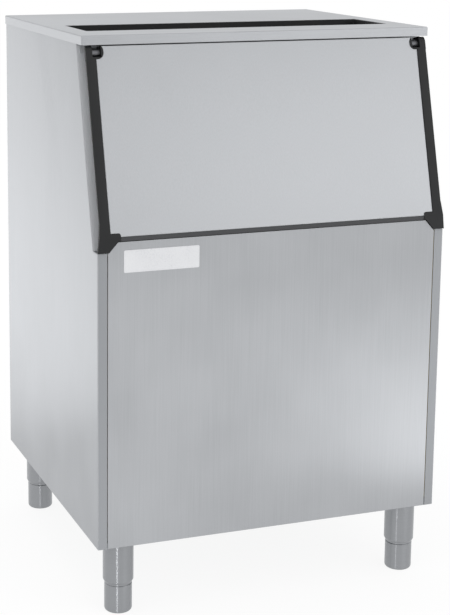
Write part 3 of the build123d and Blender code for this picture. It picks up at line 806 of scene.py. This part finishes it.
@dataclass
class Legs:
    """The four levelling legs, their feet and what holds them.

    Attributes:
        tube_mm: The tube's outer radius.
        drawn_mm: The radius of its drawn-in end, and of the foot.
        wall_mm: The tube's wall.
        top_wall_mm: The thickness of its closed top.
        bolt_hole_mm: The radius of the top's bolt hole.
        taper_top_mm: The height at which the tube begins to draw in.
        taper_bottom_mm: The height at which it is drawn in.
        tube_end_mm: The height of its lower end.
        end_chamfer_mm: The chamfer there.
        foot_top_mm: The height of the foot's rim.
        foot_wall_mm: The foot's wall.
        foot_floor_mm: The height of the foot's floor.
        stud_mm: The radius of the stud's bore.
        boss_mm: The radius of the boss round it.
        boss_top_mm: The height of the boss's top.
        sole_round_mm: The radius of the sole's edge.
        lip_round_mm: The chamfer of the tube's and the foot's rims.
        taper_steps: How many faces the taper's curve has.
        round_steps: How many faces the sole's edge has.
        turn_count: How many points go round the leg.
    """

    tube_mm: float = 31.5
    drawn_mm: float = 28.5
    wall_mm: float = 1.5
    top_wall_mm: float = 3.0
    bolt_hole_mm: float = 6.2
    taper_top_mm: float = 69.0
    taper_bottom_mm: float = 61.5
    tube_end_mm: float = 60.3
    end_chamfer_mm: float = 0.5
    foot_top_mm: float = 59.7
    foot_wall_mm: float = 3.0
    foot_floor_mm: float = 8.0
    stud_mm: float = 8.0
    boss_mm: float = 11.0
    boss_top_mm: float = 24.0
    sole_round_mm: float = 6.0
    lip_round_mm: float = 1.0
    taper_steps: int = 8
    round_steps: int = 6
    turn_count: int = 64

    def tube_section(self) -> Section:
        """The tube's radii and heights, from its top outside down and back up its bore."""
        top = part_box("leg_tube_front_left")[1].z / MM
        bore = self.tube_mm - self.wall_mm
        drawn_bore = self.drawn_mm - self.wall_mm
        section = [
            (self.bolt_hole_mm, top),
            (self.tube_mm - self.lip_round_mm, top),
            (self.tube_mm, top - self.lip_round_mm),
        ]
        fall = self.taper_top_mm - self.taper_bottom_mm
        for step in range(self.taper_steps + 1):
            share = step / self.taper_steps
            drawn = (1 - math.cos(math.pi * share)) / 2 * (self.tube_mm - self.drawn_mm)
            section.append((self.tube_mm - drawn, self.taper_top_mm - fall * share))
        return section + [
            (self.drawn_mm, self.tube_end_mm + self.end_chamfer_mm),
            (self.drawn_mm - self.end_chamfer_mm, self.tube_end_mm),
            (drawn_bore, self.tube_end_mm),
            (drawn_bore, self.taper_bottom_mm),
            (bore, self.taper_top_mm),
            (bore, top - self.top_wall_mm),
            (self.bolt_hole_mm, top - self.top_wall_mm),
        ]

    def foot_section(self) -> Section:
        """The foot's radii and heights, from its boss over the rim and round the sole."""
        inside = self.drawn_mm - self.foot_wall_mm
        section = [
            (self.stud_mm, self.foot_floor_mm),
            (self.stud_mm, self.boss_top_mm),
            (self.boss_mm, self.boss_top_mm),
            (self.boss_mm, self.foot_floor_mm),
            (inside, self.foot_floor_mm),
            (inside, self.foot_top_mm),
            (self.drawn_mm - self.lip_round_mm, self.foot_top_mm),
            (self.drawn_mm, self.foot_top_mm - self.lip_round_mm),
        ]
        middle = self.drawn_mm - self.sole_round_mm
        for step in range(self.round_steps + 1):
            turn = math.pi / 2 * step / self.round_steps
            reach = middle + self.sole_round_mm * math.cos(turn)
            section.append((reach, self.sole_round_mm - self.sole_round_mm * math.sin(turn)))
        return section

    def turned(self, section: Section, node: str, closed: bool) -> bmesh.types.BMesh:
        """Turns a section about a CAD node's middle.

        Args:
            section: Radii and heights, in millimetres.
            node: The CAD node that gives the axis.
            closed: Whether the section closes on itself, instead of being capped.

        Returns:
            The turned shell.
        """
        low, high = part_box(node)
        axis = Vector(((low.x + high.x) / 2, (low.y + high.y) / 2, 0))
        shell = bmesh.new()
        rings = []
        for radius, height in section:
            points = ring(radius, height, self.turn_count)
            rings.append([axis + Vector(point) * MM for point in points])
        loft(shell, rings, closed)
        return shell

    def build(self, shop: Workshop) -> None:
        """Makes and dresses all four legs."""
        for place in ("front_left", "front_right", "back_left", "back_right"):
            tube = self.turned(self.tube_section(), f"leg_tube_{place}", True)
            shop.piece(f"drawn_leg_{place}", tube, POLISHED_TUBE, "cabinet", f"leg_tube_{place}")
            foot = self.turned(self.foot_section(), f"levelling_foot_{place}", False)
            shop.piece(
                f"turned_foot_{place}", foot, POLISHED_TUBE, f"foot_{place}",
                f"levelling_foot_{place}",
            )
            shop.dress(ZINC, f"foot_stud_{place}", edge_mm=0.0)
        shop.dress(GALVANISED, "leg_plates", "leg_inserts", edge_mm=0.4)
        shop.dress(ZINC, "leg_bolts", edge_mm=0.4)


@dataclass
class Drain:
    """The melt water drain through the floor."""

    def build(self, shop: Workshop) -> None:
        """Dresses the drain."""
        shop.dress(WHITE_ABS, "drain_body", "drain_nut", "drain_strainer", edge_mm=0.3)
        shop.dress(VINYL, "drain_washer", edge_mm=0.2)


@dataclass
class Screws:
    """The small fasteners that show: hexagon heads behind, crossed flush heads on the lid.

    Attributes:
        shank_mm: The shank's radius.
        head_mm: The head's radius, over its washer.
        head_thick_mm: How far a hexagon head stands out.
        washer_mm: The thickness of its washer.
        hexagon_mm: The hexagon's radius to its flats.
        chamfer_mm: The chamfer on the heads.
        cross_half_mm: Half the width of a cross recess's arm.
        cross_reach_mm: How far the arms reach from the middle.
        cross_deep_mm: How deep the recess is.
        cross_floor: The recess's size at its floor, as a share of its size at the face.
        back_rows: How many screws go down each edge of the back.
        lid_count: How many go along the lid's back edge.
    """

    shank_mm: float = 2.0
    head_mm: float = 4.0
    head_thick_mm: float = 1.8
    washer_mm: float = 0.5
    hexagon_mm: float = 3.0
    chamfer_mm: float = 0.3
    cross_half_mm: float = 0.45
    cross_reach_mm: float = 2.2
    cross_deep_mm: float = 0.7
    cross_floor: float = 0.5
    back_rows: int = 5
    lid_count: int = 4

    def hexagon(self, angle: float) -> float:
        """A hexagon's reach from its middle, in millimetres, at an angle."""
        return self.hexagon_mm / math.cos((angle % (math.pi / 3)) - math.pi / 6)

    def cross(self, angle: float) -> float:
        """A cross recess's reach from its middle, in millimetres, at an angle."""
        turn = abs((angle + math.pi / 4) % (math.pi / 2) - math.pi / 4)
        least_sine = 0.01
        arm_side = self.cross_half_mm / max(math.sin(turn), least_sine)
        return min(self.cross_reach_mm / math.cos(turn), arm_side)

    def cross_bottom(self, angle: float) -> float:
        """The reach of the recess's floor."""
        return self.cross(angle) * self.cross_floor

    def headed(
        self, shell: bmesh.types.BMesh, place: Vector, section: Sequence[tuple[Reach, float]]
    ) -> None:
        """Adds one screw that points backwards out of the bin.

        Args:
            shell: The mesh that gets it.
            place: Where its axis meets the sheet, in metres.
            section: Radii, or functions of the angle, with heights over the sheet in millimetres.
        """
        rings = []
        for radius, height in section:
            points = ring(radius, height)
            rings.append([place + Vector((across, out, up)) * MM for across, up, out in points])
        loft(shell, rings)

    def back(self, shop: Workshop) -> None:
        """The washer-head screws down both edges of the back panel."""
        low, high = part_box("back_panel_screws")
        margin = self.head_mm * MM
        sheet = high.y - self.head_thick_mm * MM
        top = self.head_thick_mm
        inside = (low.y - sheet) / MM
        section = [
            (self.shank_mm, inside), (self.shank_mm, 0.0), (self.head_mm, 0.0),
            (self.head_mm, self.washer_mm / 2), (self.head_mm - self.washer_mm / 2, self.washer_mm),
            (self.hexagon, self.washer_mm), (self.hexagon, top - self.chamfer_mm),
            (self.hexagon_mm - self.chamfer_mm, top),
        ]
        shell = bmesh.new()
        for row in range(self.back_rows):
            z = low.z + margin + (high.z - low.z - 2 * margin) * row / (self.back_rows - 1)
            for x in (low.x + margin, high.x - margin):
                self.headed(shell, Vector((x, sheet, z)), section)
        shop.piece("washer_head_screws", shell, ZINC, "cabinet", "back_panel_screws")

    def lid(self, shop: Workshop) -> None:
        """The flush crossed screws along the lid's back edge."""
        low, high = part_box("lid_screws")
        margin = self.head_mm * MM
        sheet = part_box("side_panel_right")[1].y
        top = (high.y - sheet) / MM
        inside = (low.y - sheet) / MM
        section = [
            (self.shank_mm, inside), (self.shank_mm, 0.0), (self.head_mm, 0.0),
            (self.head_mm, top - self.chamfer_mm), (self.head_mm - self.chamfer_mm, top),
            (self.cross, top), (self.cross_bottom, top - self.cross_deep_mm),
        ]
        shell = bmesh.new()
        for index in range(self.lid_count):
            x = low.x + margin + (high.x - low.x - 2 * margin) * index / (self.lid_count - 1)
            self.headed(shell, Vector((x, sheet, (low.z + high.z) / 2)), section)
        shop.piece("crossed_lid_screws", shell, ZINC, "cabinet", "lid_screws")

    def build(self, shop: Workshop) -> None:
        """Makes both sets of screws."""
        self.back(shop)
        self.lid(shop)


@dataclass
class BlankPlate:
    """The plain white plate under the door's left corner.

    Attributes:
        corner_mm: The radius of its corners.
        rim_mm: The width of its raised rim.
        step_mm: How far the field inside lies below the rim.
        edge_mm: The chamfer of its edge.
    """

    corner_mm: float = 3.0
    rim_mm: float = 1.4
    step_mm: float = 0.2
    edge_mm: float = 0.25

    def build(self, shop: Workshop) -> None:
        """Makes the plate with a fine raised rim and nothing on it."""
        low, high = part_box("label_plate")
        centre = (low.x + high.x) / 2 / MM
        half = (high.x - low.x) / 2 / MM
        shell = bmesh.new()
        rings = []
        thick = (high.y - low.y) / MM
        section = [
            (0.0, 0.0), (0.0, thick - self.edge_mm), (self.edge_mm, thick), (self.rim_mm, thick),
            (self.rim_mm + self.step_mm, thick - self.step_mm),
        ]
        for inset, proud in section:
            drawn = round_rectangle(half, low.z / MM, high.z / MM, self.corner_mm, inset)
            y = high.y - proud * MM
            rings.append([Vector(((x + centre) * MM, y, z * MM)) for x, z in drawn])
        loft(shell, rings)
        shop.piece("blank_rating_plate", shell, WHITE_ENAMEL, "cabinet", "label_plate")


@dataclass(frozen=True)
class Softbox:
    """A rectangular soft light.

    Attributes:
        name: Its name.
        place: Where it hangs, in metres.
        aim: What it points at, in metres.
        size: Its width and height, in metres.
        power: Its power, in watts.
        spread: The angle that its light spreads over, in degrees.
    """

    name: str
    place: tuple[float, float, float]
    aim: tuple[float, float, float]
    size: tuple[float, float]
    power: float
    spread: float = 180.0

    def hang(self) -> None:
        """Makes the lamp and hangs it."""
        lamp = bpy.data.lights.new(self.name, "AREA")
        lamp.shape = "RECTANGLE"
        lamp.size, lamp.size_y = self.size
        lamp.energy = self.power
        lamp.spread = math.radians(self.spread)
        made = bpy.data.objects.new(self.name, lamp)
        made.location = self.place
        facing = Vector(self.aim) - Vector(self.place)
        made.rotation_euler = facing.to_track_quat("-Z", "Y").to_euler()
        bpy.context.scene.collection.objects.link(made)


# The key and the top light the door and the lid. The left board, low behind, draws the side
# sheet's gradient. The right board lifts the front's lower right. The strip draws the line up
# each leg.
LAMPS = (
    Softbox("key_softbox", (2.0, -3.2, 1.9), (0.0, -0.3, 0.95), (2.2, 0.9), 11.0),
    Softbox("top_softbox", (-0.6, 0.8, 4.0), (0.0, 0.0, 0.6), (2.0, 2.0), 10.0),
    Softbox("left_board", (-1.5, 3.2, 0.85), (-1.5, 2.2, 4.05), (1.8, 5.4), 27.0),
    Softbox("right_board", (0.84, -0.8, 0.18), (0.76, -0.6, 2.18), (0.9, 0.8), 2.0),
    Softbox("leg_strip", (-0.84, -1.38, 0.2), (-0.2, -0.3, 0.0), (0.08, 0.34), 0.25, spread=60.0),
)


@dataclass
class Studio:
    """The camera, the white surround and the pale floor.

    Attributes:
        picture_px: The photograph's width and height.
        axis_px: Where the lens axis meets it.
        focal_px: The focal length, in its pixels.
        yaw: How far the camera looks to the right of the bin's back, in radians.
        pitch: How far it looks up, in radians.
        roll: How far it is turned about its axis, in radians.
        place_mm: Where it stands.
        sensor_mm: The width that the focal length is given for.
        floor_reach_mm: Half the floor's width.
        floor_cells: How many cells the floor has each way.
        floor_colour: The floor's colour.
        floor_glow: The share of plain white in the floor where it is seen.
    """

    picture_px: tuple[float, float] = (450.0, 615.0)
    axis_px: tuple[float, float] = (129.261, 173.994)
    focal_px: float = 1529.551
    yaw: float = 0.33484
    pitch: float = -0.17314
    roll: float = 0.00317
    place_mm: tuple[float, float, float] = (-1270.05, -3082.77, 1419.28)
    sensor_mm: float = 36.0
    floor_reach_mm: float = 60000.0
    floor_cells: int = 8
    floor_colour: str = "FFFFFF"
    floor_glow: float = 0.88

    def camera(self) -> None:
        """Sets the camera up at the photograph's viewing angle."""
        made = bpy.data.cameras.new("studio_camera")
        width, height = self.picture_px
        made.sensor_width = self.sensor_mm
        made.lens = self.focal_px * self.sensor_mm / height
        made.shift_x = (width / 2 - self.axis_px[0]) / height
        made.shift_y = (self.axis_px[1] - height / 2) / height
        made.clip_end = self.floor_reach_mm * MM * 2
        ahead = Vector((
            math.sin(self.yaw) * math.cos(self.pitch),
            math.cos(self.yaw) * math.cos(self.pitch),
            math.sin(self.pitch),
        ))
        right = Vector((math.cos(self.yaw), -math.sin(self.yaw), 0))
        up = right.cross(ahead)
        turned_right = right * math.cos(self.roll) + up * math.sin(self.roll)
        turned_up = up * math.cos(self.roll) - right * math.sin(self.roll)
        stand = bpy.data.objects.new("studio_camera", made)
        bpy.context.scene.collection.objects.link(stand)
        turn = Matrix((turned_right, turned_up, -ahead)).transposed()
        stand.matrix_world = Matrix.Translation(Vector(self.place_mm) * MM) @ turn.to_4x4()
        bpy.context.scene.camera = stand

    def seen(self, tree: bpy.types.NodeTree) -> bpy.types.NodeSocket:
        """1 where a ray comes from the camera, a glossy surface or through glass, otherwise 0."""
        path = add_node(tree, "ShaderNodeLightPath")
        shiny = add_node(
            tree, "ShaderNodeMath",
            {0: path.outputs["Is Glossy Ray"], 1: path.outputs["Is Transmission Ray"]},
            operation="MAXIMUM",
        )
        either = add_node(
            tree, "ShaderNodeMath", {0: path.outputs["Is Camera Ray"], 1: shiny.outputs["Value"]},
            operation="MAXIMUM",
        )
        return either.outputs["Value"]

    def surround(self) -> None:
        """A white surround, plain white where it is seen."""
        world = bpy.data.worlds.new("white_surround")
        world.use_nodes = True
        tree = world.node_tree
        tree.nodes.clear()
        light = add_node(tree, "ShaderNodeBackground", {"Color": WHITE, "Strength": 1.0})
        add_node(tree, "ShaderNodeOutputWorld", {"Surface": light.outputs["Background"]})
        bpy.context.scene.world = world

    def floor(self) -> None:
        """A pale floor that turns white away from the bin and keeps its shadow."""
        paint = bpy.data.materials.new("pale_studio_floor")
        paint.use_nodes = True
        tree = paint.node_tree
        tree.nodes.clear()
        matt = add_node(tree, "ShaderNodeBsdfDiffuse", {"Color": linear(self.floor_colour)})
        glow = add_node(tree, "ShaderNodeEmission", {"Color": WHITE, "Strength": 1.0})
        share = add_node(
            tree, "ShaderNodeMath", {0: self.seen(tree), 1: self.floor_glow}, operation="MULTIPLY"
        )
        both = add_node(
            tree, "ShaderNodeMixShader",
            {0: share.outputs["Value"], 1: matt.outputs["BSDF"], 2: glow.outputs["Emission"]},
        )
        add_node(tree, "ShaderNodeOutputMaterial", {"Surface": both.outputs["Shader"]})
        shell = bmesh.new()
        cells = self.floor_cells
        bmesh.ops.create_grid(
            shell, x_segments=cells, y_segments=cells, size=self.floor_reach_mm * MM
        )
        mesh = bpy.data.meshes.new("studio_floor")
        shell.to_mesh(mesh)
        shell.free()
        made = bpy.data.objects.new("studio_floor", mesh)
        made.data.materials.append(paint)
        bpy.context.scene.collection.objects.link(made)

    def build(self) -> None:
        """Sets up the whole studio."""
        self.camera()
        self.surround()
        self.floor()
        for lamp in LAMPS:
            lamp.hang()
        bpy.context.scene.view_settings.view_transform = "Standard"


def main() -> None:
    """Builds the bin, sub-assembly by sub-assembly, and the studio around it."""
    logging.basicConfig(level=logging.INFO, format="%(name)s %(message)s")
    Studio().build()
    shop = Workshop()
    assemblies = (Cabinet(), Lid(), Door(), Hinges(), Legs(), Drain(), Screws(), BlankPlate())
    for assembly in assemblies:
        assembly.build(shop)
        LOG.info("sub-assembly %s done", type(assembly).__name__)


if __name__ == "__main__":
    main()
